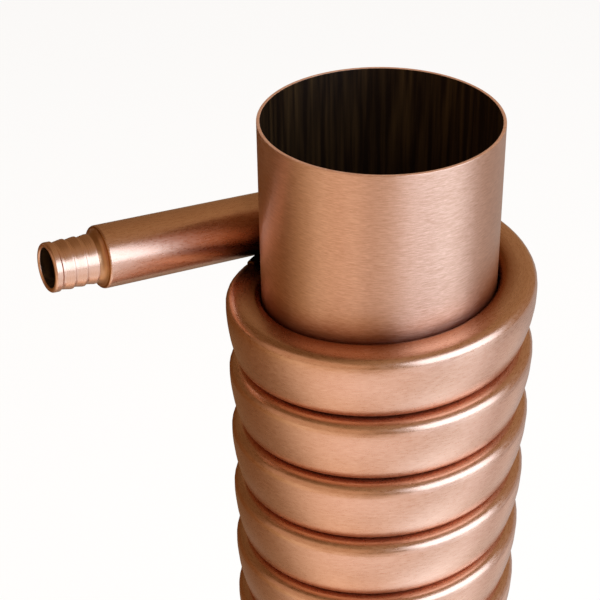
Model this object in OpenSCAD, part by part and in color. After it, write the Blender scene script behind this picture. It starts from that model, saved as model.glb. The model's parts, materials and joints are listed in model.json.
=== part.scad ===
// Vertical drain-water heat exchanger: a plain copper drain pipe with one flattened
// copper tube wound tightly round it. Both ends of the tube leave the coil along the
// helix, round out into straight legs, and carry a barbed adapter for flexible pipe.
// Frame: +Z up the pipe's axis, origin at the centre of its lower mouth. Both legs
// point along -X, the upper one at +Y of the axis and the lower one at -Y.
// Units: millimetres.

/* [Drain pipe] */
// Length of the drain pipe, from mouth to mouth
pipe_length = 762; // [600:1:860]
// Outside diameter of the drain pipe
pipe_od = 104.8; // [98:0.1:112]
// Wall of the drain pipe
pipe_wall = 1.5; // [1.2:0.1:3]
// Chamfer on the outer and inner edges of the pipe's mouths
pipe_edge = 0.3; // [0.1:0.05:0.5]
// How far the winding's pull beds the coil into the pipe's wall
bedding = 0.1; // [0.05:0.05:0.3]
// Length over which the pipe's wall runs down to that bed
bed_run = 4; // [2:0.5:6]
// Least distance from a mouth of the pipe to the axis of the nearer leg
end_clear = 64; // [50:1:90]

/* [Coil tube] */
// Outside diameter of the tube where it is round
tube_od = 28.6; // [26:0.1:30]
// Wall of the tube
tube_wall = 1.3; // [1:0.1:1.6]
// Height of the flattened tube, along the pipe
turn_height = 32.25; // [30.4:0.05:36]
// Depth of the flattened tube, away from the pipe
turn_depth = 16; // [13:0.1:18]
// Free height between one turn and the next
turn_gap = 0.55; // [0.5:0.05:1.5]
// Clearance between the pipe's wall and the tube wound on it
seat_gap = 0.3; // [0.1:0.05:0.5]
// Height of the flat face that lies against the pipe
inner_flat = 26; // [20:0.5:28]
// Height of the flat outer face
outer_flat = 22; // [14:0.5:26]
// Angle of turn over which the flattened tube rounds out into a leg
round_out = 180; // [60:1:200]

/* [Legs] */
// Length of a leg, from where it touches the pipe to the tube's mouth
leg_length = 106; // [90:0.5:160]
// Length of the taper ground on the tube's mouth
mouth_taper = 2.6; // [1:0.1:5]
// How much of the wall's thickness the mouth's taper leaves
mouth_lip = 0.5; // [0.3:0.05:0.8]

/* [Barbed adapters] */
// Diameter over the ribs
rib_od = 22.5; // [21.5:0.1:23.5]
// Diameter between the ribs
root_od = 20.8; // [20:0.1:21.4]
// Bore of the barb
barb_bore = 18.2; // [15:0.1:18.6]
// Length of the adapter that stands out of the tube
barb_length = 24.2; // [22:0.1:34]
// Length of the adapter's spigot inside the tube
spigot_length = 14; // [8:0.5:25]
// Wall of the spigot
spigot_wall = 1.2; // [0.8:0.1:1.6]
// Radial gap that the brazing alloy fills round the spigot
braze_gap = 0.1; // [0.05:0.01:0.2]
// Length of the round bead at the mouth
bead_length = 4; // [3.4:0.1:4.6]
// Radius on the bead's outer edge
bead_round = 1.2; // [0.6:0.1:1.4]
// Number of ribs between the bead and the neck
rib_count = 3; // [1:1:3]
// Distance from one rib to the next
rib_pitch = 5.6; // [4.6:0.1:5.8]
// Width of the land on a rib's crest
rib_land = 0.8; // [0.5:0.1:1.4]
// Length of the ramp in front of a rib's crest
rib_ramp = 3; // [2:0.1:3.2]

/* [Brazing] */
// Leg of the fillet round the tube's mouth
fillet = 1.1; // [0.6:0.1:1.4]
// Angle of turn that a tack under a leg covers, from where the leg touches the pipe
tack_sweep = 18; // [10:1:22]
// Width of a tack, away from the pipe
tack_width = 12; // [8:0.5:13]
// Height of a tack above the turn that it stands on
tack_height = 6; // [4:0.5:8]

/* [Hidden] */
$fn = 96;

BRUSHED_COPPER = [0.80, 0.53, 0.40];
COIL_COPPER = [0.77, 0.48, 0.34];
BARB_COPPER = [0.85, 0.58, 0.44];
BRAZE_ALLOY = [0.48, 0.30, 0.16];

pipe_r = pipe_od / 2;
tube_r = tube_od / 2;
bore_r = tube_r - tube_wall;
bed_r = pipe_r - bedding;                // the pipe's outside under the coil
wound_r = bed_r + seat_gap;              // radius on which the tube is wound
leg_r = wound_r + tube_r;                // a leg's axis, from the pipe's axis

// The winding: whole turns and a half, so that both legs point the same way.
pitch = turn_height + turn_gap;
turns = floor((pipe_length - 2 * end_clear) / pitch - 0.5) + 0.5;
low_z = (pipe_length - turns * pitch) / 2;
high_z = pipe_length - low_z;
start_angle = -90;

rings_per_turn = 20;
ring_step = 360 / rings_per_turn;
ring_count = turns * rings_per_turn;
coil_inner_r = wound_r / cos(ring_step / 2);   // the chords between rings clear the pipe
slope = atan(pitch / (2 * PI * (coil_inner_r + turn_depth / 2)));

// Cross-sections of the tube as [away from the pipe, up] about its centre.
// They have six corners each, so that the one can turn into the other.
function flat_section(depth, height, inner, outer) = [
    [depth / 2, -outer / 2], [depth / 2, outer / 2], [0, height / 2],
    [-depth / 2, inner / 2], [-depth / 2, -inner / 2], [0, -height / 2]];
function round_section(r) = [for (i = [0:5]) [r * cos(60 * i - 30), r * sin(60 * i - 30)]];

// The bore's corners lie this far inside the outer ones, for an even wall at the corners.
corner_in = tube_wall / cos(30);
flat_outer = flat_section(turn_depth, turn_height, inner_flat, outer_flat);
flat_bore = flat_section(turn_depth - 2 * tube_wall, turn_height - 2 * corner_in,
                         inner_flat - 2 * tube_wall, outer_flat - 2 * tube_wall);
round_outer = round_section(tube_r);
round_bore = round_section(tube_r - corner_in);

// How round the tube is at a ring: 0 along the coil, 1 where a leg starts.
function ease(t) = t * t * (3 - 2 * t);
function roundness(k) =
    ease(max(0, 1 - min(k, ring_count - k) * ring_step / round_out));

function ring_angle(k) = start_angle + k * ring_step;
function outward(a) = [cos(a), sin(a), 0];
function along(a) = [-sin(a) * cos(slope), cos(a) * cos(slope), sin(slope)];
function upward(a, tilt) = [sin(a) * sin(tilt), -cos(a) * sin(tilt), cos(tilt)];

// One ring of the tube: its place on the helix, its section, and its lean, which
// brings the last rings square to the legs.
function ring(k, flat_form, round_form) =
    let (w = roundness(k), a = ring_angle(k),
         r = (1 - w) * (coil_inner_r + turn_depth / 2) + w * leg_r,
         centre = r * outward(a) + [0, 0, low_z + pitch * k / rings_per_turn],
         section = (1 - w) * flat_form + w * round_form)
    [for (p = section) centre + p[0] * outward(a) + p[1] * upward(a, w * slope)];
function shifted(points, by) = [for (p = points) p + by];

// All rings, with a straight run of one tube diameter before the first and after the last.
function rings(flat_form, round_form) = concat(
    [shifted(ring(0, flat_form, round_form), -tube_od * along(ring_angle(0)))],
    [for (k = [0:ring_count]) ring(k, flat_form, round_form)],
    [shifted(ring(ring_count, flat_form, round_form), tube_od * along(ring_angle(ring_count)))]);

outer_rings = rings(flat_outer, round_outer);
bore_rings = rings(flat_bore, round_bore);
last_ring = len(outer_rings) - 1;

// The least gap between one turn and the next, measured on the rings' corners.
function least_gap(first, last) = min([for (k = [first:last])
    for (p = outer_rings[k]) for (q = outer_rings[k + rings_per_turn]) norm(p - q)]);
echo(least_gap_between_turns = least_gap(0, last_ring - rings_per_turn));

module coil() {
    corners = [for (r = outer_rings) each r, for (r = bore_rings) each r];
    inner = 6 * (last_ring + 1);           // index of the bore's first corner
    skin = [for (k = [0:last_ring - 1]) for (i = [0:5])
        let (a = 6 * k + i, b = 6 * k + (i + 1) % 6, c = b + 6, d = a + 6)
        each [[a, d, b], [b, d, c]]];
    bore = [for (f = skin) [f[0] + inner, f[2] + inner, f[1] + inner]];
    mouths = [for (k = [0, last_ring]) for (i = [0:5])
        let (a = 6 * k + i, b = 6 * k + (i + 1) % 6, c = b + inner, d = a + inner)
        each k == 0 ? [[a, b, d], [b, c, d]] : [[a, d, b], [b, d, c]]];
    color(COIL_COPPER)
        polyhedron(points = corners, faces = concat(skin, bore, mouths));
}

// The pipe: bare at both ends for a coupling, and bedded under the coil between them.
module drain_pipe() {
    inner_r = pipe_r - pipe_wall;
    bed_end = low_z - tube_r;              // the bed reaches to the legs' far sides
    lower_half = [[inner_r, pipe_edge], [inner_r + pipe_edge, 0],
                  [pipe_r - pipe_edge, 0], [pipe_r, pipe_edge],
                  [pipe_r, bed_end - bed_run], [bed_r, bed_end]];
    upper_half = [for (i = [len(lower_half) - 1:-1:0])
        [lower_half[i][0], pipe_length - lower_half[i][1]]];
    color(BRUSHED_COPPER)
        rotate_extrude()
            polygon(concat(lower_half, upper_half));
}

// The lower end is the upper end turned half round about the X axis.
module at_lower_end() {
    translate([0, 0, pipe_length])
        rotate([180, 0, 0])
            children();
}

// Children stand on a leg's axis: +Z runs outward from where the leg touches the pipe.
module on_leg() {
    translate([0, leg_r, high_z])
        rotate([0, slope - 90, 0])
            children();
}

mouth_r = bore_r + mouth_lip;            // outer radius of the tube's tapered mouth
neck_end = leg_length + fillet;          // where the adapter's flared neck ends
barb_end = leg_length + barb_length;     // the adapter's mouth
neck_r = root_od / 2 + fillet;
root_r = root_od / 2;
rib_r = rib_od / 2;

// A leg takes over from the coil's straight run, with a true bore.
module leg() {
    color(COIL_COPPER)
        on_leg()
            rotate_extrude()
                polygon([[bore_r, tube_od], [tube_r, tube_od],
                         [tube_r, leg_length - mouth_taper],
                         [mouth_r, leg_length], [bore_r, leg_length]]);
}

// Outlines are [radius, distance along the leg]. A rib's ramp faces the mouth, and its
// step faces the leg, so that a pipe pushed over it cannot slip off.
function rib_outline(i) =
    let (step = barb_end - bead_length - i * rib_pitch)
    [[root_r, step], [rib_r, step], [rib_r, step + rib_land],
     [root_r, step + rib_land + rib_ramp]];
bead_outline = concat(
    [[root_r, barb_end - bead_length], [rib_r, barb_end - bead_length + (rib_r - root_r)]],
    [for (a = [0:15:90]) [rib_r - bead_round * (1 - cos(a)),
                          barb_end - bead_round * (1 - sin(a))]]);

module barb() {
    spigot_r = bore_r - braze_gap;
    spigot_bore_r = spigot_r - spigot_wall;
    color(BARB_COPPER)
        on_leg()
            rotate_extrude()
                polygon(concat(
                    [[spigot_bore_r, leg_length - spigot_length],
                     [spigot_r, leg_length - spigot_length],
                     [spigot_r, leg_length], [neck_r, leg_length], [root_r, neck_end]],
                    [for (i = [rib_count:-1:1]) each rib_outline(i)],
                    bead_outline,
                    [[barb_bore / 2, barb_end], [barb_bore / 2, neck_end],
                     [spigot_bore_r, leg_length - spigot_wall]]));
}

// The fillet of brazing alloy between the tube's mouth and the adapter's neck.
module barb_braze() {
    foot = neck_end + fillet / 2;
    color(BRAZE_ALLOY)
        on_leg()
            rotate_extrude()
                polygon([[neck_r, leg_length], [mouth_r, leg_length],
                         [root_r + braze_gap, foot], [root_r + braze_gap, neck_end]]);
}

// A tack of alloy in the corner between the pipe, the underside of a leg and the top
// of the turn below it. It leans with the helix, as the turn does.
module tack() {
    middle = ring_angle(ring_count) + tack_sweep / 2;
    turn_top = high_z - pitch + turn_height / 2 + pitch * tack_sweep / 2 / 360;
    color(BRAZE_ALLOY)
        difference() {
            rotate([0, 0, middle])
                translate([0, 0, turn_top + braze_gap])
                    rotate([slope, 0, 0])
                        rotate([0, 0, -tack_sweep / 2])
                            rotate_extrude(angle = tack_sweep)
                                translate([wound_r, 0])
                                    square([tack_width, tack_height]);
            on_leg()
                translate([0, 0, -tube_od])
                    cylinder(h = 3 * tube_od, r = tube_r + braze_gap);
        }
}

drain_pipe();
coil();
leg();  // upper_leg
at_lower_end() leg();  // lower_leg
barb();  // upper_barb
at_lower_end() barb();  // lower_barb
barb_braze();  // upper_barb_braze
at_lower_end() barb_braze();  // lower_barb_braze
tack();  // upper_tack
at_lower_end() tack();  // lower_tack
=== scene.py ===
"""Looks of a drain-water heat recovery pipe: a copper drain pipe with one flattened copper
tube wound round it, whose two straight ends carry barbed adapters. Metres, +Z up the pipe."""

import json
import math

import bmesh
import bpy
from mathutils import Matrix, Vector, noise


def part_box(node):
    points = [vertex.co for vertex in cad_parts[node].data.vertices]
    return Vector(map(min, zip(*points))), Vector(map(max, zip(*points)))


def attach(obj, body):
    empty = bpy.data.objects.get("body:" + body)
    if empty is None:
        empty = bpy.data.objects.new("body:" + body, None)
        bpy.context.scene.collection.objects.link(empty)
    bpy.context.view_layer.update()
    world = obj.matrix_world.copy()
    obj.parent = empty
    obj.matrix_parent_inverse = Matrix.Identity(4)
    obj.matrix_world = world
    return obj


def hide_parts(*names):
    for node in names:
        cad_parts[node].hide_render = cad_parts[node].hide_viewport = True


MM = 0.001
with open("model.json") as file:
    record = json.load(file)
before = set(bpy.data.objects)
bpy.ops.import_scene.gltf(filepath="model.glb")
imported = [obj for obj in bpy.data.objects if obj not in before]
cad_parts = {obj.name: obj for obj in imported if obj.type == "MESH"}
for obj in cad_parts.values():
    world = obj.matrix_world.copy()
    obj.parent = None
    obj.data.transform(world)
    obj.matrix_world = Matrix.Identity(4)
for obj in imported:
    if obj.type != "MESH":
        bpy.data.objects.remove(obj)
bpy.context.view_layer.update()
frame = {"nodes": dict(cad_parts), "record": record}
mounts = {mount["name"]: mount for mount in frame["record"]["mounts"]}


# ---- sizes that the frame gives ---------------------------------------------------------

pipe_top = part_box("drain_pipe")[1].z
pipe_radius = mounts["upper_pipe_end"]["dims"]["r_mm"] * MM
pipe_bore_radius = mounts["drain_bore"]["dims"]["r_mm"] * MM

leg_low, leg_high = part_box("upper_leg")
leg_offset = (leg_low.y + leg_high.y) / 2          # a leg's axis, from the pipe's axis
tube_radius = (leg_high.y - leg_low.y) / 2
wound_radius = leg_offset - tube_radius            # where the tube lies against the pipe
leg_direction = Vector(mounts["upper_barb"]["axis"])
leg_slope = math.asin(leg_direction.z)
barb_middle = Vector(mounts["upper_barb"]["pos_m"])
leg_foot = barb_middle + leg_direction * (barb_middle.x / math.cos(leg_slope))
high_z = leg_foot.z                                # where the tube's upper end leaves the pipe
low_z = pipe_top - high_z

LIP_ROUND = 1.2 * MM                               # outer edge of a barb's mouth
NECK_FILLET = 1.1 * MM                             # between a leg's mouth and the barb
rib_radius = mounts["upper_barb"]["dims"]["r_mm"] * MM
barb_bore_radius = mounts["upper_port"]["dims"]["r_mm"] * MM

# Distances along a leg, from where it touches the pipe.
leg_start = 2 * tube_radius
barb_end = (barb_middle - leg_foot).length + mounts["upper_barb"]["dims"]["length_mm"] * MM / 2 + LIP_ROUND
leg_mouth = barb_end - mounts["upper_port"]["dims"]["length_mm"] * MM - NECK_FILLET

# ---- sizes of the shapes ----------------------------------------------------------------

TURNS = 18.5
RINGS_PER_TURN = 72
SECTION_POINTS = 56
TURN_GAP = 0.2 * MM                                # the turns touch, but for this dark line
TURN_DEPTH = 15.4 * MM
UPPER_CORNER = 4.6 * MM                            # radii of the flattened tube's corners
LOWER_CORNER = 7.0 * MM
FACE_ROUND = 80 * MM                               # radius by which the face draws in downwards
INNER_CORNER = 3.5 * MM
SLACK = 1.0 * MM                                   # how much deeper the tube starts and ends
SLACK_TURNS = 1.6                                  # turns over which that goes
ROUND_OUT = 0.45                                   # turns over which the tube rounds out
END_RISE = 0.3 * MM                                # how much taller the end turns' free side is
RISE_TURNS = (0.06, 0.2, 0.8, 0.97)                # where that starts, is full, fades and is gone
END_LIFT = 1.0 * MM                                # how far the end turns stand off an even climb
END_TILT = 2.7 * MM                                # and how far they tip, over their radius
TILT_WAY = math.radians(248.4)                     # which way, by the angle from the leg
TILT_TURNS = (0.6, 7.0)                            # where the tipping starts to fade and is gone
UNDER_LEG = 2.2 * MM                               # how far the turn below a leg swells up to it
SWELL_TURNS = (0.7, 0.87, 1.0, 1.4)                # where that starts, is full, fades and is gone
SIDE_BULGE = 2.0 * MM                              # how much deeper the end turns are on one side
SIDE_WAY = math.radians(123)                       # which side, by the angle from the leg
SIDE_FULL = 1.2                                    # turns from the end at which the bulge is full
WAVER = 0.1 * MM                                   # unevenness of the turns' depth and height

TUBE_WALL = 1.3 * MM
MOUTH_RUN = 1.3 * MM                               # run of the leg's turned-in mouth
MOUTH_LIP = 0.3 * MM                               # what is left of its wall there
RIM_ROUND = 0.4 * MM                               # filed edges of the drain pipe's mouths

SPIGOT_LENGTH = 14.0 * MM
SPIGOT_WALL = 1.2 * MM
BRAZE_GAP = 0.1 * MM                               # between a spigot and the leg about it
ROOT_DEPTH = 0.65 * MM                             # of the barb between its ribs
BEAD_LENGTH = 4.0 * MM
RIB_COUNT = 3
RIB_PITCH = 5.6 * MM
RIB_LAND = 0.8 * MM
RIB_RAMP = 3.8 * MM
RIB_BREAK = 0.12 * MM                              # broken edge on a rib's step
BORE_ROUND = 0.9 * MM                              # rounded edge inside the barb's mouth
BRAZE_RUN = 3.2 * MM                               # of the braze's cone, up to the first rib
BRAZE_HOLLOW = 0.5 * MM                            # how far that cone is dished
BRAZE_SKIN = 0.07 * MM                             # how thick the braze lies on the leg's mouth
TACK_SWEEP = 35                                    # degrees of turn that a tack's bead runs along
TACK_REACH = 13 * MM                               # how far it reaches from the pipe
TACK_WIDTH = 8 * MM
TACK_HEIGHT = 6 * MM
TACK_MELT = 0.4 * MM                               # size of the cells in which it flows together

DARKENED_MIDDLE = (-22 * MM, 60 * MM)                        # middle of the heat tint and painted shade about the tacks, seen along the pipe
FULLY_DARKENED, UNDARKENED = 12 * MM, 38 * MM                 # from there: fully darkened, and not at all
RAGGED = 6 * MM                                    # unevenness of the darkened patch's edge

turn_pitch = (high_z - low_z) / TURNS
turn_height = turn_pitch - TURN_GAP
root_radius = rib_radius - ROOT_DEPTH
tube_bore_radius = tube_radius - TUBE_WALL
mouth_radius = tube_bore_radius + MOUTH_LIP


# ---- small helpers ----------------------------------------------------------------------

def linear(colour):
    """An sRGB hex colour as linear red, green, blue and opacity."""
    parts = [int(colour[i:i + 2], 16) / 255 for i in (1, 3, 5)]
    return [c / 12.92 if c <= 0.04045 else ((c + 0.055) / 1.055) ** 2.4 for c in parts] + [1.0]


def eased(value, low, high):
    """0 up to low, 1 from high on, and an eased step between."""
    share = min(1.0, max(0.0, (value - low) / (high - low)))
    return share * share * (3 - 2 * share)


def swell(value, start, full, fade, gone):
    """An eased rise from 0 at start to 1 at full, and an eased fall from fade to 0 at gone."""
    return eased(value, start, full) * (1 - eased(value, fade, gone))


def add(owner, kind, inputs=(), **settings):
    """Adds one node to a material's or the world's tree. An input is a value, or an output to link."""
    node = owner.node_tree.nodes.new("ShaderNode" + kind)
    for name, value in settings.items():
        setattr(node, name, value)
    for name, value in dict(inputs).items():
        if isinstance(value, bpy.types.NodeSocket):
            owner.node_tree.links.new(value, node.inputs[name])
        else:
            node.inputs[name].default_value = value
    return node


def new_material(name):
    """A material with an empty tree of nodes."""
    material = bpy.data.materials.new(name)
    material.use_nodes = True
    material.node_tree.nodes.clear()
    return material


# ---- materials --------------------------------------------------------------------------

# Each pattern's scale is a count to the millimetre, or a size that along_tube takes.

def along_tube(material, along, across):
    """A place on a tube that gives its patterns a size along the tube and one across it."""
    run = add(material, "SeparateXYZ", {0: add(material, "UVMap", uv_map="run").outputs[0]})
    cosine = add(material, "Math", {0: run.outputs["Y"]}, operation="COSINE")
    sine = add(material, "Math", {0: run.outputs["Y"]}, operation="SINE")
    place = add(material, "CombineXYZ", {
        "X": run.outputs["X"], "Y": cosine.outputs[0], "Z": sine.outputs[0]})
    size = (1 / along, tube_radius / across, tube_radius / across)
    return add(material, "Mapping", {"Vector": place.outputs[0], "Scale": size}).outputs[0]


def shaded_and_browned_by_coil(material, tone, colour):
    """Browns the pipe's tone close to the coil at both ends: painted shade where the coil meets the pipe,
    along with some real browning there.
    """
    start, full = 11 * MM, -4 * MM                 # of the painted shade and browning, beyond the coil's end
    place = add(material, "SeparateXYZ", {0: add(material, "TexCoord").outputs["Object"]})
    level = add(material, "Math", {0: place.outputs["Z"], 1: pipe_top / 2}, operation="SUBTRACT")
    level = add(material, "Math", {0: level.outputs[0]}, operation="ABSOLUTE")
    coil_half = high_z - pipe_top / 2
    close = add(material, "MapRange", {
        "Value": level.outputs[0], "From Min": coil_half + start, "From Max": coil_half + full,
        "To Max": 0.6}, interpolation_type="SMOOTHSTEP")
    return add(material, "MixRGB", {
        "Fac": close.outputs[0], "Color1": tone, "Color2": linear(colour)}).outputs[0]


def brushed_copper():
    """Copper pipe brushed round its axis: fine level scratches that smear highlights upright.
    Real scratches are some 0.05 mm wide. They are drawn nearly ten times as wide, so as to show."""
    material = new_material("Brushed copper")
    place = add(material, "TexCoord").outputs["Object"]
    streaks = add(material, "Mapping", {"Vector": place, "Scale": (0.26 / MM, 0.26 / MM, 2.1 / MM)})
    scratches = add(material, "TexNoise", {"Vector": streaks.outputs[0], "Scale": 1.0, "Detail": 4.0,
                                           "Roughness": 0.7})
    worn = add(material, "MapRange", {"Value": scratches.outputs["Fac"], "From Min": 0.3, "From Max": 0.7})
    tone = add(material, "MixRGB", {"Fac": worn.outputs[0], "Color1": linear("#cfa087"),
                                    "Color2": linear("#efc6af")})
    # Painted shade, with some real browning, on the pipe close to the coil.
    tone = shaded_and_browned_by_coil(material, tone.outputs[0], "#9a5a34")
    gloss = add(material, "MapRange", {"Value": worn.outputs[0], "To Min": 0.29, "To Max": 0.37})
    bump = add(material, "Bump", {"Height": scratches.outputs["Fac"], "Strength": 0.5,
                                  "Distance": 0.0002})
    around = add(material, "Tangent", direction_type="RADIAL", axis="Z")
    shader = add(material, "BsdfPrincipled", {
        "Base Color": tone, "Metallic": 1.0, "Roughness": gloss.outputs[0],
        "Anisotropic": 0.8, "Anisotropic Rotation": 0.25, "Normal": bump.outputs[0],
        "Tangent": around.outputs[0]})
    add(material, "OutputMaterial", {"Surface": shader.outputs[0]})
    return material


def filed_copper():
    """The pipe's sawn and filed mouth: pale, bright, speckled metal."""
    material = new_material("Filed copper")
    place = add(material, "TexCoord").outputs["Object"]
    nicks = add(material, "TexNoise", {"Vector": place, "Scale": 0.7 / MM, "Detail": 3.0})
    tone = add(material, "MixRGB", {"Fac": nicks.outputs["Fac"], "Color1": linear("#c98f70"),
                                    "Color2": linear("#f0c9b2")})
    bump = add(material, "Bump", {"Height": nicks.outputs["Fac"], "Strength": 0.3, "Distance": 0.0002})
    shader = add(material, "BsdfPrincipled", {
        "Base Color": tone.outputs[0], "Metallic": 0.75, "Roughness": 0.35, "Normal": bump.outputs[0]})
    add(material, "OutputMaterial", {"Surface": shader.outputs[0]})
    return material


def scaled_bore():
    """Copper left with its mill scale inside the tube: brown-black, half dull, streaked upright. On the
    coil's end caps it stands for painted shade.
    """
    material = new_material("Scaled copper bore")
    place = add(material, "TexCoord").outputs["Object"]
    upright = add(material, "Mapping", {"Vector": place, "Scale": (0.42 / MM, 0.42 / MM, 0.018 / MM)})
    streaks = add(material, "TexNoise", {"Vector": upright.outputs[0], "Scale": 1.0, "Detail": 4.0})
    tone = add(material, "ValToRGB", {"Fac": streaks.outputs["Fac"]})
    tone.color_ramp.elements[0].position = 0.4
    tone.color_ramp.elements[0].color = linear("#24160d")
    tone.color_ramp.elements[1].position = 0.75
    tone.color_ramp.elements[1].color = linear("#523b22")
    shader = add(material, "BsdfPrincipled", {
        "Base Color": tone.outputs[0], "Metallic": 0.5, "Roughness": 0.38})
    add(material, "OutputMaterial", {"Surface": shader.outputs[0]})
    return material


def scorch_and_shade(material, tone, colour):
    """Darkens a tone about both tacks: heat tint from brazing, and painted shade where the tacks, legs,
    coil and pipe meet.
    """
    place = add(material, "TexCoord").outputs["Object"]
    patchiness = add(material, "TexNoise", {"Vector": place, "Scale": 0.09 / MM, "Detail": 2.0})
    ragged = add(material, "MapRange", {"Value": patchiness.outputs["Fac"], "To Min": -RAGGED, "To Max": RAGGED})
    for middle in ((DARKENED_MIDDLE[0], DARKENED_MIDDLE[1], high_z - tube_radius), (DARKENED_MIDDLE[0], -DARKENED_MIDDLE[1], low_z + tube_radius)):
        away = add(material, "VectorMath", {0: place, 1: middle}, operation="DISTANCE")
        away = add(material, "Math", {0: away.outputs["Value"], 1: ragged.outputs[0]}, operation="ADD")
        darkening = add(material, "MapRange", {
            "Value": away.outputs[0], "From Min": UNDARKENED, "From Max": FULLY_DARKENED},
            interpolation_type="SMOOTHSTEP")
        tone = add(material, "MixRGB", {
            "Fac": darkening.outputs[0], "Color1": tone, "Color2": linear(colour)}).outputs[0]
    return tone


def drawn_copper():
    """Copper tube as drawn and wound: satin, with faint lines along it, and browned deep between the
    turns and against the pipe: painted shade, along with some real browning. The die's lines are some
    0.1 mm wide. They are drawn 0.7 mm wide, so as to show."""
    undarkened_run = 0.12                                # of the coil's ends, which are left without the painted shade and browning
    material = new_material("Drawn copper")
    place = add(material, "TexCoord").outputs["Object"]
    clouds = add(material, "TexNoise", {"Vector": place, "Scale": 0.03 / MM, "Detail": 3.0})
    lines = add(material, "TexNoise", {"Vector": along_tube(material, 3 * MM, 0.7 * MM), "Scale": 1.0,
                                       "Detail": 4.0, "Roughness": 0.65})
    worn = add(material, "MapRange", {"Value": lines.outputs["Fac"], "From Min": 0.3, "From Max": 0.7})
    fresh = add(material, "MixRGB", {"Fac": worn.outputs[0], "Color1": linear("#d8aa91"),
                                     "Color2": linear("#edc4ad")})
    clean = add(material, "MixRGB", {"Fac": clouds.outputs["Fac"], "Color1": linear("#faf6f4"),
                                     "Color2": linear("#ffffff")})
    clean = add(material, "MixRGB", {"Fac": 1.0, "Color1": fresh.outputs[0], "Color2": clean.outputs[0]},
                blend_type="MULTIPLY")
    # Painted shade, with some real browning, on the tube's inner side: between the turns and against the
    # pipe.
    run = add(material, "SeparateXYZ", {0: add(material, "UVMap", uv_map="run").outputs[0]})
    outward = add(material, "Math", {0: run.outputs["Y"]}, operation="COSINE")
    deep = add(material, "MapRange", {"Value": outward.outputs[0], "From Min": 0.15, "From Max": -0.3})
    from_middle = add(material, "Math", {0: run.outputs["X"], 1: coil_length / 2}, operation="SUBTRACT")
    from_middle = add(material, "Math", {0: from_middle.outputs[0]}, operation="ABSOLUTE")
    wound = add(material, "MapRange", {"Value": from_middle.outputs[0], "From Min": coil_length / 2,
                                       "From Max": coil_length / 2 - undarkened_run})
    browned = add(material, "Math", {0: deep.outputs[0], 1: wound.outputs[0]}, operation="MULTIPLY")
    tone = add(material, "MixRGB", {"Fac": browned.outputs[0], "Color1": clean.outputs[0],
                                    "Color2": linear("#a0623a")})
    # Heat tint, with painted shade, on the tube about the tacks.
    tone = scorch_and_shade(material, tone.outputs[0], "#6a4127")
    gloss = add(material, "MapRange", {"Value": worn.outputs[0], "To Min": 0.25, "To Max": 0.33})
    bump = add(material, "Bump", {"Height": lines.outputs["Fac"], "Strength": 0.05, "Distance": 0.0002})
    shader = add(material, "BsdfPrincipled", {
        "Base Color": tone, "Metallic": 1.0, "Roughness": gloss.outputs[0],
        "Normal": bump.outputs[0]})
    add(material, "OutputMaterial", {"Surface": shader.outputs[0]})
    return material


def turned_copper():
    """Copper machined on a lathe: bright, with fine turning lines round it. Real lines are some
    0.1 mm apart. They are drawn 0.35 mm apart, so as to show."""
    material = new_material("Turned copper")
    rings = add(material, "TexNoise", {"Vector": along_tube(material, 0.35 * MM, 20 * MM), "Scale": 1.0,
                                       "Detail": 3.0})
    tone = add(material, "MixRGB", {"Fac": rings.outputs["Fac"], "Color1": linear("#dfb198"),
                                    "Color2": linear("#e9bfa6")})
    gloss = add(material, "MapRange", {"Value": rings.outputs["Fac"], "From Min": 0.3, "From Max": 0.7,
                                       "To Min": 0.25, "To Max": 0.35})
    bump = add(material, "Bump", {"Height": rings.outputs["Fac"], "Strength": 0.1, "Distance": 0.0001})
    shader = add(material, "BsdfPrincipled", {
        "Base Color": tone.outputs[0], "Metallic": 1.0, "Roughness": gloss.outputs[0],
        "Normal": bump.outputs[0]})
    add(material, "OutputMaterial", {"Surface": shader.outputs[0]})
    return material


def brazing_alloy(name, dark, light):
    """Copper-phosphorus brazing alloy, run out smooth between a dark and a light tone: golden brown
    where the flame has browned it, nearer to copper where it was wiped, and clouded."""
    material = new_material(name)
    place = add(material, "TexCoord").outputs["Object"]
    clouds = add(material, "TexNoise", {"Vector": place, "Scale": 0.3 / MM, "Detail": 4.0})
    tone = add(material, "MixRGB", {"Fac": clouds.outputs["Fac"], "Color1": linear(dark),
                                    "Color2": linear(light)})
    # Near black about the tacks: painted shade of the corner under the leg, with some heat tint.
    tone = scorch_and_shade(material, tone.outputs[0], "#2a180c")
    bump = add(material, "Bump", {"Height": clouds.outputs["Fac"], "Strength": 0.15, "Distance": 0.0003})
    shader = add(material, "BsdfPrincipled", {
        "Base Color": tone, "Metallic": 1.0, "Roughness": 0.35, "Normal": bump.outputs[0]})
    add(material, "OutputMaterial", {"Surface": shader.outputs[0]})
    return material


# ---- meshes -----------------------------------------------------------------------------

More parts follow.
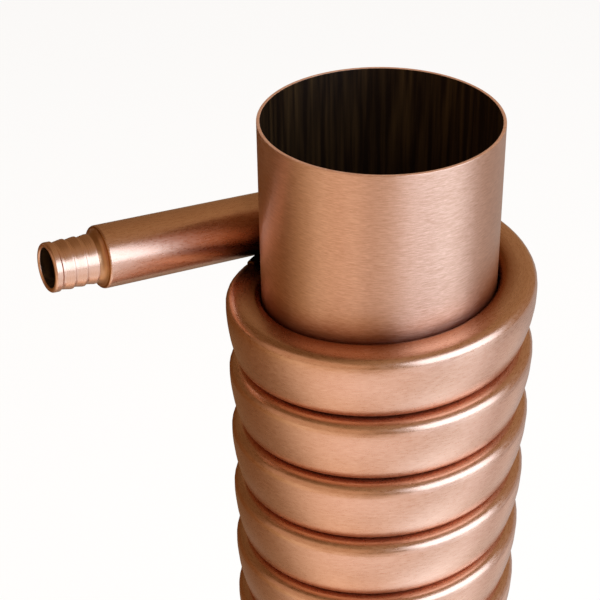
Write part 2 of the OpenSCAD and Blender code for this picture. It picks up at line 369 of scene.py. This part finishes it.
def skin(name, rings, runs, turns, materials, closed=True, slots=None):
    """A smooth mesh through rings of points. It closes on itself, or has a cap at each end.
    runs and turns are its rings' and points' places in the map that patterns follow."""
    around = len(rings[0])
    faces, places, kinds = [], [], []
    for k in range(len(rings) if closed else len(rings) - 1):
        there = (k + 1) % len(rings)
        for i in range(around):
            j = (i + 1) % around
            faces.append((k * around + i, there * around + i, there * around + j, k * around + j))
            places += [(runs[k], turns[i]), (runs[there], turns[i]), (runs[there], turns[i + 1]),
                       (runs[k], turns[i + 1])]
            kinds.append(slots[k] if slots else 0)
    if not closed:
        for k, order in ((0, range(around)), (len(rings) - 1, range(around - 1, -1, -1))):
            faces.append([k * around + i for i in order])
            places += [(runs[k], turns[i]) for i in order]
            kinds.append(len(materials) - 1)
    mesh = bpy.data.meshes.new(name)
    mesh.from_pydata([point for ring in rings for point in ring], [], faces)
    mesh.uv_layers.new(name="run").uv.foreach_set("vector", [value for place in places for value in place])
    mesh.polygons.foreach_set("material_index", kinds)
    for material in materials:
        mesh.materials.append(material)
    mesh.validate()
    mesh.shade_smooth()
    mesh.set_sharp_from_angle(angle=math.radians(50))
    piece = bpy.data.objects.new(name, mesh)
    bpy.context.scene.collection.objects.link(piece)
    return piece


def braced(outline):
    """The closed outline with a point close to both ends of each long straight, to hold its edges."""
    close, points = 0.15 * MM, []
    for a, b in zip(outline, outline[1:] + outline[:1]):
        length = math.dist(a, b)
        points.append(a)
        if length > 4 * close:
            for share in (close / length, 1 - close / length):
                points.append([p + (q - p) * share for p, q in zip(a, b)])
    return points


def lathe(name, outline, place, materials, choose=None, run_start=0.0, lower=False, steps=128):
    """A closed outline of [radius, distance] turned round the Z axis of a placing matrix. choose
    gives the material slot for a radius and a distance. A lower piece's map runs the other way."""
    outline = braced(outline)
    angles = [math.pi + 2 * math.pi * i / steps for i in range(steps + 1)]
    rings = [[place @ Vector((r * math.sin(a), r * math.cos(a), s)) for a in angles[:-1]]
             for r, s in outline]
    middles = [((a[0] + b[0]) / 2, (a[1] + b[1]) / 2) for a, b in zip(outline, outline[1:] + outline[:1])]
    slots = [choose(r, s) if choose else 0 for r, s in middles]
    way = -1 if lower else 1
    runs = [run_start + way * s for r, s in outline]
    return skin(name, rings, runs, [way * a for a in angles], materials, slots=slots)


def arc(centre, radius, first, last, steps):
    """Points on an arc, with angles in degrees."""
    angles = [math.radians(first + (last - first) * i / steps) for i in range(steps + 1)]
    return [(centre[0] + radius * math.cos(a), centre[1] + radius * math.sin(a)) for a in angles]


def on_leg(lower):
    """Places +Z along a leg, outward from where it touches the pipe."""
    turned = Matrix.Translation(leg_foot) @ Matrix.Rotation(leg_slope - math.pi / 2, 4, "Y")
    if lower:
        turned = Matrix.Translation((0, 0, pipe_top)) @ Matrix.Rotation(math.pi, 4, "X") @ turned
    return turned


# ---- the drain pipe ---------------------------------------------------------------------

def drain_pipe(outside, bore, mouth):
    """The drain pipe, with its mouths' edges filed round."""
    edge, far = RIM_ROUND, pipe_top - RIM_ROUND
    outline = arc((pipe_radius - edge, edge), edge, -90, 0, 5)
    outline += arc((pipe_radius - edge, far), edge, 0, 90, 5)
    outline += arc((pipe_bore_radius + edge, far), edge, 90, 180, 5)
    outline += arc((pipe_bore_radius + edge, edge), edge, 180, 270, 5)

    def choose(radius, height):
        if edge / 2 < height < pipe_top - edge / 2:
            return 0 if radius > pipe_radius - edge / 2 else 1
        return 2

    return lathe("drain_pipe_tube", outline, Matrix.Identity(4), [outside, bore, mouth], choose, steps=192)


# ---- the coil ---------------------------------------------------------------------------

def spaced(outline, count):
    """A closed outline as so many points at even distances, from its first point on."""
    loop = outline + [outline[0]]
    lengths = [math.dist(a, b) for a, b in zip(loop, loop[1:])]
    step, points, walked, k = sum(lengths) / count, [], 0.0, 0
    for i in range(count):
        while walked + lengths[k] < i * step:
            walked += lengths[k]
            k += 1
        share = (i * step - walked) / lengths[k]
        points.append([p + (q - p) * share for p, q in zip(loop[k], loop[k + 1])])
    return points


def flat_section():
    """The flattened tube as [outward, up] from the middle of its inner face, going down first."""
    half = turn_height / 2
    draw_in = math.asin((2 * half - UPPER_CORNER - LOWER_CORNER) / (FACE_ROUND - LOWER_CORNER))
    face = (TURN_DEPTH - FACE_ROUND, half - UPPER_CORNER)
    lower_x = face[0] + (FACE_ROUND - LOWER_CORNER) * math.cos(draw_in)
    turned = math.degrees(draw_in)
    outline = [(0.0, 0.0)]
    outline += arc((INNER_CORNER, INNER_CORNER - half), INNER_CORNER, 180, 270, 8)
    outline += arc((lower_x, LOWER_CORNER - half), LOWER_CORNER, 270, 360 - turned, 12)
    outline += arc(face, FACE_ROUND, -turned, 0, 12)[1:-1]
    outline += arc((TURN_DEPTH - UPPER_CORNER, half - UPPER_CORNER), UPPER_CORNER, 0, 90, 16)
    outline += arc((INNER_CORNER, half - INNER_CORNER), INNER_CORNER, 90, 180, 8)
    return spaced(outline, SECTION_POINTS)


def round_section():
    """The round tube, with its points in step with the flattened one's."""
    angles = [math.pi + 2 * math.pi * i / SECTION_POINTS for i in range(SECTION_POINTS)]
    return [(tube_radius * (1 + math.cos(a)), tube_radius * math.sin(a)) for a in angles]


flat, whole = flat_section(), round_section()


def middle_height(turn):
    """Height of the tube's middle: an even climb, but for the end turns, which tip."""
    from_end, free_side = min(turn, TURNS - turn), 1 if turn > TURNS / 2 else -1
    tip = END_LIFT + END_TILT * math.cos(2 * math.pi * from_end - TILT_WAY)
    return low_z + turn_pitch * turn + free_side * tip * swell(from_end, 0, ROUND_OUT, *TILT_TURNS)


def coil_ring(turn):
    """One ring of the tube, so many turns from its lower end."""
    from_end = min(turn, TURNS - turn)
    free_side = 1 if turn > TURNS / 2 else -1
    roundness = 1 - eased(from_end, 0, ROUND_OUT)
    rise = END_RISE * swell(from_end, *RISE_TURNS) + UNDER_LEG * swell(from_end, *SWELL_TURNS)
    bulge = SIDE_BULGE * (1 + math.cos(2 * math.pi * from_end - SIDE_WAY)) / 2
    deeper = SLACK * (1 - eased(from_end, 0, SLACK_TURNS))
    deeper += bulge * swell(from_end, ROUND_OUT, SIDE_FULL, *TILT_TURNS)
    deeper += WAVER * noise.noise((turn * 3, 0, 7))
    higher = WAVER * noise.noise((turn * 3, 5, 2))
    middle = middle_height(turn)
    room = {1: turn_pitch, -1: turn_pitch}         # to the middle of the turn above and below
    if turn + 1 <= TURNS:
        room[1] = middle_height(turn + 1) - middle
    if turn - 1 >= 0:
        room[-1] = middle - middle_height(turn - 1)
    stretch = {side: (room[side] - TURN_GAP) / turn_height for side in room}
    stretch[free_side] += 2 * rise / turn_height
    angle = math.radians(-90) + 2 * math.pi * turn
    outward = Vector((math.cos(angle), math.sin(angle), 0))
    lean = roundness * leg_slope
    upward = Vector((math.sin(angle) * math.sin(lean), -math.cos(angle) * math.sin(lean), math.cos(lean)))
    foot = wound_radius * outward + Vector((0, 0, middle))
    ring = []
    for (flat_x, flat_y), (round_x, round_y) in zip(flat, whole):
        depth = flat_x * (1 + deeper / TURN_DEPTH)
        height = flat_y * stretch[1 if flat_y > 0 else -1] + higher
        x = depth + (round_x - depth) * roundness
        y = height + (round_y - height) * roundness
        ring.append(foot + x * outward + y * upward)
    return ring


def coil(material, cap_shade):
    """The flattened tube wound round the pipe, rounding out at both ends into the legs. Its end caps,
    inside the legs, take the dark bore finish as painted shade in place of the tube's bore.
    """
    count = round(TURNS * RINGS_PER_TURN)
    rings = [coil_ring(k / RINGS_PER_TURN) for k in range(count + 1)]
    runs = [coil_length * k / count for k in range(count + 1)]
    straight = leg_direction * leg_start
    mirrored = Vector((straight.x, straight.y, -straight.z))
    rings = [[p + mirrored for p in rings[0]]] + rings + [[p + straight for p in rings[-1]]]
    runs = [-leg_start] + runs + [coil_length + leg_start]
    turns = [math.pi + 2 * math.pi * i / SECTION_POINTS for i in range(SECTION_POINTS + 1)]
    # The end caps are painted shade: the dark bore finish where the tube's bore isn't drawn.
    return skin("coil_tube", rings, runs, turns, [material, cap_shade], closed=False)


coil_length = TURNS * math.hypot(2 * math.pi * (wound_radius + TURN_DEPTH / 2), turn_pitch)


# ---- the legs and their adapters --------------------------------------------------------

def mouth_curve(first, last, steps, proud=0.0):
    """The leg's turned-in mouth, as part of an ellipse between two angles in degrees."""
    points = []
    for i in range(steps + 1):
        angle = math.radians(first + (last - first) * i / steps)
        radius = mouth_radius + (tube_radius - mouth_radius) * math.cos(angle) + proud * math.sin(angle)
        points.append((radius, leg_mouth - MOUTH_RUN + MOUTH_RUN * math.sin(angle)))
    return points


def leg(end, material):
    """A leg of round tube, from the coil's straight run to its own turned-in mouth."""
    lower = end == "lower"
    outline = [(tube_radius, leg_start)] + mouth_curve(0, 90, 8)
    outline += [(tube_bore_radius, leg_mouth), (tube_bore_radius, leg_start)]
    return lathe(end + "_leg_tube", outline, on_leg(lower), [material],
                 run_start=0 if lower else coil_length, lower=lower)


def rib(step):
    """A rib whose step faces the leg and whose ramp faces the mouth, with its edge broken."""
    return [(root_radius, step), (rib_radius - RIB_BREAK, step), (rib_radius, step + RIB_BREAK),
            (rib_radius, step + RIB_LAND), (root_radius, step + RIB_LAND + RIB_RAMP)]


def barb(end, material, bore):
    """A barbed adapter: a spigot in the leg, ribs, and a beaded lip at its mouth."""
    inside_from = root_radius - 0.9 * MM           # radius below which it shows its bore's finish
    spigot = tube_bore_radius - BRAZE_GAP
    outline = [(spigot - SPIGOT_WALL, leg_mouth - SPIGOT_LENGTH), (spigot, leg_mouth - SPIGOT_LENGTH),
               (spigot, leg_mouth), (root_radius, leg_mouth + NECK_FILLET)]
    for i in range(RIB_COUNT, 0, -1):
        outline += rib(barb_end - BEAD_LENGTH - i * RIB_PITCH)
    outline += [(root_radius, barb_end - BEAD_LENGTH), (rib_radius, barb_end - BEAD_LENGTH + ROOT_DEPTH)]
    outline += arc((rib_radius - LIP_ROUND, barb_end - LIP_ROUND), LIP_ROUND, 0, 90, 8)
    outline += arc((barb_bore_radius + BORE_ROUND, barb_end - BORE_ROUND), BORE_ROUND, 90, 180, 6)
    outline += [(barb_bore_radius, leg_mouth + NECK_FILLET),
                (spigot - SPIGOT_WALL, leg_mouth - SPIGOT_WALL)]

    def choose(radius, distance):
        return 1 if radius < inside_from and distance < barb_end - BORE_ROUND else 0

    return lathe(end + "_barb_adapter", outline, on_leg(end == "lower"), [material, bore], choose)


def barb_braze(end, cone, line):
    """Brazing alloy in a dished cone from the leg's mouth to the adapter's first rib, with a line of
    it round the mouth."""
    outline, steps = mouth_curve(50, 90, 5, BRAZE_SKIN), 8
    for i in range(1, steps + 1):
        share = i / steps
        dish = BRAZE_HOLLOW * math.sin(math.pi * share)
        outline.append((mouth_radius + (root_radius - mouth_radius) * share - dish,
                        leg_mouth + BRAZE_SKIN + BRAZE_RUN * share - dish))
    outline += [(root_radius - BRAZE_GAP, leg_mouth + BRAZE_RUN), (root_radius - BRAZE_GAP, leg_mouth),
                (tube_bore_radius, leg_mouth - BRAZE_GAP), (mouth_radius, leg_mouth - MOUTH_RUN)]
    line_from = mouth_radius - 0.1 * MM

    def choose(radius, distance):
        return 1 if radius > line_from else 0

    return lathe(end + "_braze_fillet", outline, on_leg(end == "lower"), [cone, line], choose)


def tack(end, material):
    """A tack of alloy, melted over its solid's block and out along the corner under the leg."""
    upside = Matrix.Identity(4) if end == "upper" else on_leg(True) @ on_leg(False).inverted()
    raised = 0.5 * MM                              # its axis, above the turn that it lies on
    around = [2 * math.pi * j / 16 for j in range(16)]
    steps, rings = 8, []
    for i in range(steps + 1):
        share = i / steps
        angle = math.radians(90 + TACK_SWEEP * share)
        top = middle_height(TURNS - 1 + TACK_SWEEP * share / 360) + turn_height / 2 + UNDER_LEG
        outward = Vector((math.cos(angle), math.sin(angle), 0))
        distance = wound_radius + TACK_REACH * (0.75 + 0.1 * share)
        centre = distance * outward + Vector((0, 0, top + raised))
        wide = TACK_WIDTH / 2 * (1 - 0.5 * share ** 3)
        tall = TACK_HEIGHT / 2 * (1 - 0.4 * share ** 3)
        rings.append([upside @ (centre + wide * math.cos(a) * outward + Vector((0, 0, tall * math.sin(a))))
                      for a in around])
    piece = skin(end + "_tack_bead", rings, [0] * len(rings), [0] * (len(around) + 1), [material],
                 closed=False)
    block = bmesh.new()
    block.from_mesh(piece.data)
    block.from_mesh(frame["nodes"][end + "_tack"].data)
    block.to_mesh(piece.data)
    block.free()
    piece.data.polygons.foreach_set("material_index", [0] * len(piece.data.polygons))
    melt = piece.modifiers.new("melt", "REMESH")
    melt.voxel_size = TACK_MELT
    melt.use_smooth_shade = True
    run_out = piece.modifiers.new("run out", "SMOOTH")
    run_out.iterations = 8
    return piece


# ---- camera -----------------------------------------------------------------------------

def aim_camera():
    """Looks down on the upper end from in front, the leg to the left, and gives its bearing."""
    bearing = math.radians(-123.4)                 # of the camera, round the pipe
    distance, height = 0.6048, 0.2904              # from the pipe's axis, above its rim
    turn, tilt, roll = -0.0581, 0.5616, -0.0154    # radians, from facing the axis level
    sensor, lens = 36, 95.43                       # both in millimetres
    heading = bearing + math.pi - turn
    forward = Vector((math.cos(heading) * math.cos(tilt), math.sin(heading) * math.cos(tilt),
                      -math.sin(tilt)))
    level = forward.cross(Vector((0, 0, 1))).normalized()
    upright = level.cross(forward)
    right = level * math.cos(roll) + upright * math.sin(roll)
    up = upright * math.cos(roll) - level * math.sin(roll)
    camera = bpy.data.objects.new("camera", bpy.data.cameras.new("camera"))
    bpy.context.scene.collection.objects.link(camera)
    camera.data.sensor_fit = "HORIZONTAL"
    camera.data.sensor_width = sensor
    camera.data.lens = lens
    rows = Matrix((right, up, -forward)).transposed().to_4x4()
    place = Vector((distance * math.cos(bearing), distance * math.sin(bearing), pipe_top + height))
    camera.matrix_world = Matrix.Translation(place) @ rows
    bpy.context.scene.camera = camera
    return bearing


# ---- pieces -----------------------------------------------------------------------------

view_bearing = aim_camera()
tube_copper, barb_copper, scale = drawn_copper(), turned_copper(), scaled_bore()
browned = brazing_alloy("Browned braze", "#7a4a1f", "#c08348")
wiped = brazing_alloy("Wiped braze", "#bb8a62", "#d0a27e")

pieces = [(drain_pipe(brushed_copper(), scale, filed_copper()), "drain_pipe", "brushed_copper"),
          (coil(tube_copper, scale), "coil", "drawn_copper")]
for end in ("upper", "lower"):
    pieces += [(leg(end, tube_copper), end + "_leg", "drawn_copper"),
               (barb(end, barb_copper, scale), end + "_barb", "turned_copper"),
               (barb_braze(end, wiped, browned), end + "_barb_braze", "braze"),
               (tack(end, browned), end + "_tack", "braze")]
for piece, node, slot in pieces:
    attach(piece, "root")
    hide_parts(node)


# ---- stage ------------------------------------------------------------------------------

def seen(owner):
    """1 for the rays that show a thing itself, or in metal or glass, and 0 for those that light it."""
    path = add(owner, "LightPath")
    either = add(owner, "Math", {0: path.outputs["Is Camera Ray"], 1: path.outputs["Is Glossy Ray"]},
                 operation="MAXIMUM")
    return add(owner, "Math", {0: either.outputs[0], 1: path.outputs["Is Transmission Ray"]},
               operation="MAXIMUM").outputs[0]


def pale_floor():
    """A pale, matt sheet. It shows white itself, and keeps the shadow that falls on it."""
    material = new_material("Pale floor")
    share = add(material, "Math", {0: seen(material), 1: 0.85}, operation="MULTIPLY")
    sheet = add(material, "BsdfPrincipled", {"Base Color": linear("#f6f5f3"), "Roughness": 0.9})
    white = add(material, "Emission", {"Color": linear("#ffffff"), "Strength": 1.0})
    both = add(material, "MixShader", {0: share.outputs[0], 1: sheet.outputs[0], 2: white.outputs[0]})
    add(material, "OutputMaterial", {"Surface": both.outputs[0]})
    return material


def panel(name, corners, material):
    """A flat four-cornered sheet of the studio."""
    mesh = bpy.data.meshes.new(name)
    mesh.from_pydata(corners, [], [(0, 1, 2, 3)])
    mesh.materials.append(material)
    sheet = bpy.data.objects.new(name, mesh)
    bpy.context.scene.collection.objects.link(sheet)


def softbox(name, bearing, lift, distance, width, height, radiance, colour):
    """A soft lamp at a bearing from the camera's side and a lift above level, both in degrees."""
    data = bpy.data.lights.new(name, "AREA")
    data.shape = "RECTANGLE"
    data.size, data.size_y = width, height
    data.energy = radiance * math.pi * width * height
    data.color = linear(colour)[:3]
    lamp = bpy.data.objects.new(name, data)
    bpy.context.scene.collection.objects.link(lamp)
    angle, rise = view_bearing + math.radians(bearing), math.radians(lift)
    way = Vector((math.cos(angle) * math.cos(rise), math.sin(angle) * math.cos(rise), math.sin(rise)))
    place = Matrix.Translation(Vector((0, 0, pipe_top)) + way * distance)
    lamp.matrix_world = place @ way.to_track_quat("Z", "Y").to_matrix().to_4x4()
    return lamp


def lit_cloth(name, tones, near_tones):
    """Cloth as the room lights it: tones by bearing, with other ones near the pipe's axis, and
    brightest at its foot."""
    material = new_material(name)
    place = add(material, "TexCoord").outputs["Object"]
    level = add(material, "SeparateXYZ", {0: place})
    bearing = add(material, "Math", {0: level.outputs["Y"], 1: level.outputs["X"]}, operation="ARCTAN2")
    share = add(material, "MapRange", {
        "Value": bearing.outputs[0], "From Min": -math.pi, "From Max": math.pi})
    ramps = []
    for row in (near_tones, tones):
        ramp = add(material, "ValToRGB", {"Fac": share.outputs[0]})
        stops = ramp.color_ramp.elements
        stops[0].color = stops[1].color = linear(row[0][1])
        for degrees, colour in row[1:-1]:
            stops.new((degrees + 180) / 360).color = linear(colour)
        ramps.append(ramp.outputs[0])
    away = add(material, "VectorMath", {0: place}, operation="LENGTH")
    far = add(material, "MapRange", {"Value": away.outputs["Value"], "From Min": NEAR, "From Max": FAR})
    tone = add(material, "MixRGB", {"Fac": far.outputs[0], "Color1": ramps[0], "Color2": ramps[1]})
    bright = add(material, "MapRange", {"Value": away.outputs["Value"], "From Min": FOOT, "From Max": NEAR,
                                        "To Min": FOOT_GLOW, "To Max": TENT_GLOW})
    glow = add(material, "Emission", {"Color": tone.outputs[0], "Strength": bright.outputs[0]})
    add(material, "OutputMaterial", {"Surface": glow.outputs[0]})
    return material


# Tones of the tent by bearing from the camera's side, in degrees: brown in the room's shade to
# the left, white towards its windows to the right. They are those of its wall, of its ground
# sheet far off and near by, and of the room above its wall.
WALL_TONES = [(-180, "#6f6759"), (-168, "#695b4b"), (-160, "#3f2108"), (-92, "#5f4124"),
              (-72, "#8c7555"), (-54, "#b7a58e"), (-38, "#ac957e"), (-22, "#b3a08b"), (-8, "#998471"),
              (8, "#a69789"), (22, "#bcb9bc"), (34, "#c4c8d3"), (48, "#b1b3bc"), (64, "#d3e1f0"),
              (80, "#b7bcc4"), (97, "#89817e"), (150, "#85807d"), (180, "#6f6759")]
SHEET_TONES = [(-180, "#6c6559"), (-165, "#594530"), (-110, "#593f29"), (-85, "#6c553f"),
               (-62, "#a08e7c"), (-45, "#bcaca0"), (-20, "#c8bdb9"), (-5, "#c5bebc"), (10, "#c2bcbc"),
               (25, "#b1a7a2"), (42, "#b1adad"), (60, "#babcc0"), (80, "#bcbdc4"), (92, "#aca8aa"),
               (104, "#958b89"), (122, "#aaa4a0"), (150, "#847e7c"), (180, "#6c6559")]
NEAR_TONES = [(-180, "#6c6559"), (-165, "#6c6157"), (-140, "#766a61"), (-112, "#6c5945"),
              (-85, "#765f48"), (-62, "#a69380"), (-45, "#baa897"), (-20, "#af9e8e"), (-5, "#aa998e"),
              (10, "#afa49b"), (25, "#bcbabc"), (42, "#c4cbd3"), (60, "#dae7f3"), (80, "#d3dae1"),
              (92, "#c0c0c0"), (104, "#aeaaa5"), (122, "#958f89"), (150, "#847e7c"), (180, "#6c6559")]
ROOM_TONES = [(-180, "#6f593f"), (-150, "#523c24"), (-90, "#523a21"), (-50, "#6c573c"), (0, "#776145"),
              (90, "#7c654b"), (150, "#776145"), (180, "#6f593f")]
TENT_GLOW = 2.0                                    # how bright white is in these tones
FOOT_GLOW = 3.2                                    # and how bright at the pipe's foot
FOOT, NEAR, FAR = 0.10, 0.36, 0.66                 # from the axis: where these glows and tones hold


def light_tent():
    """A low round tent of cloth about the object, with the dim room above. Only reflections show it."""
    radius, height, steps = 1.0, 0.56, 72
    hem, inner = 2 * MM, 60 * MM                   # its ground sheet's height, and its hole for the pipe
    far, ceiling, peak = 5.0, 4.0, 1 * MM          # the room's walls, and the hole in its ceiling
    hoops = ((radius, height), (radius, hem), (inner, hem), (far, hem), (far, ceiling), (peak, ceiling))
    angles = [2 * math.pi * i / steps for i in range(steps)]
    points = [(hoop * math.cos(a), hoop * math.sin(a), z) for hoop, z in hoops for a in angles]
    faces = []
    for k in (0, 1, 3, 4):                         # the hoops that cloth or wall joins to the next
        for i in range(steps):
            j = (i + 1) % steps
            faces.append((k * steps + i, k * steps + j, (k + 1) * steps + j, (k + 1) * steps + i))
    mesh = bpy.data.meshes.new("light_tent")
    mesh.from_pydata(points, [], faces)
    mesh.materials.append(lit_cloth("Tent wall", WALL_TONES, WALL_TONES))
    mesh.materials.append(lit_cloth("Ground sheet", SHEET_TONES, NEAR_TONES))
    mesh.materials.append(lit_cloth("Room", ROOM_TONES, ROOM_TONES))
    mesh.polygons.foreach_set("material_index", [kind for kind in (0, 1, 2, 2) for i in range(steps)])
    tent = bpy.data.objects.new("light_tent", mesh)
    bpy.context.scene.collection.objects.link(tent)
    tent.rotation_euler.z = view_bearing
    tent.visible_camera = tent.visible_diffuse = tent.visible_shadow = tent.visible_transmission = False


reach = 6.0                                        # of the floor, from the pipe's axis
corners = [(-reach, -reach, 0), (reach, -reach, 0), (reach, reach, 0), (-reach, reach, 0)]
panel("floor", corners, pale_floor())
light_tent()
softbox("right_box", bearing=55, lift=20, distance=2.0, width=2.4, height=1.8, radiance=3.2,
        colour="#c0e0ff")
softbox("left_box", bearing=-50, lift=17, distance=2.0, width=3.2, height=1.7, radiance=0.36,
        colour="#ffdcc2")
top_box = softbox("top_box", bearing=0, lift=89.9, distance=2.4, width=3.0, height=3.0, radiance=3.0,
                  colour="#ffffff")
top_box.visible_glossy = False                     # it lights the floor, and isn't seen in the metal

world = bpy.data.worlds.new("studio")
bpy.context.scene.world = world
world.use_nodes = True
world.node_tree.nodes.clear()
white = add(world, "Background", {"Color": linear("#ffffff"), "Strength": 1.0})
fill = add(world, "Background", {"Color": linear("#a48661"), "Strength": 1.0})
sky = add(world, "MixShader", {0: seen(world), 1: fill.outputs[0], 2: white.outputs[0]})
add(world, "OutputWorld", {"Surface": sky.outputs[0]})
bpy.context.scene.view_settings.view_transform = "Standard"
